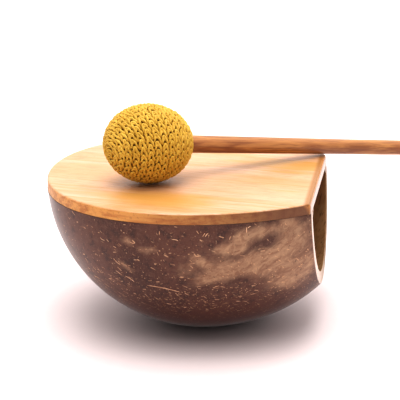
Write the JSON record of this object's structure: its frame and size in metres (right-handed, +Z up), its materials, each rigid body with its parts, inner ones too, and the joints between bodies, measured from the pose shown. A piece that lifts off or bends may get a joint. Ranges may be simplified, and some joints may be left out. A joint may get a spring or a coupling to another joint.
{
  "type": "coconut shell wood block with mallet",
  "caption": "Half coconut shell closed by a thin wooden plate and sawn open at the side, a small hand percussion block with a stick mallet whose head is covered in crochet.",
  "frame": {"origin": "on the sanded foot, straight below the centre of the plate", "axes": "+Z up through the plate, +X out of the sawn mouth, +Y away from the mallet's head towards the side its stick points to"},
  "size_m": [0.1927, 0.1732, 0.0895],
  "materials": {
    "coconut_shell": "polished coconut shell, dark brown with tan flecks",
    "top_plate": "satin oiled hardwood",
    "glue_fillet": "dried wood glue",
    "mallet_stick": "satin reddish hardwood dowel",
    "head_core": "hard rubber ball",
    "head_stuffing": "wool wadding",
    "crochet_cover": "mustard cotton yarn, single crochet",
    "neck_tie": "mustard cotton yarn"
  },
  "bodies": {
    "drum": {"coconut_shell": "coconut_shell", "top_plate": "top_plate", "glue_fillet": "glue_fillet"},
    "mallet": {"mallet_stick": "mallet_stick", "head_core": "head_core", "head_stuffing": "head_stuffing", "crochet_cover": "crochet_cover", "neck_tie": "neck_tie"}
  },
  "joints": [
    {"name": "mallet_lift", "type": "slide", "parent": "drum", "child": "mallet", "axis": [0, 0, 1], "range_m": [0, 0.12]}
  ]
}
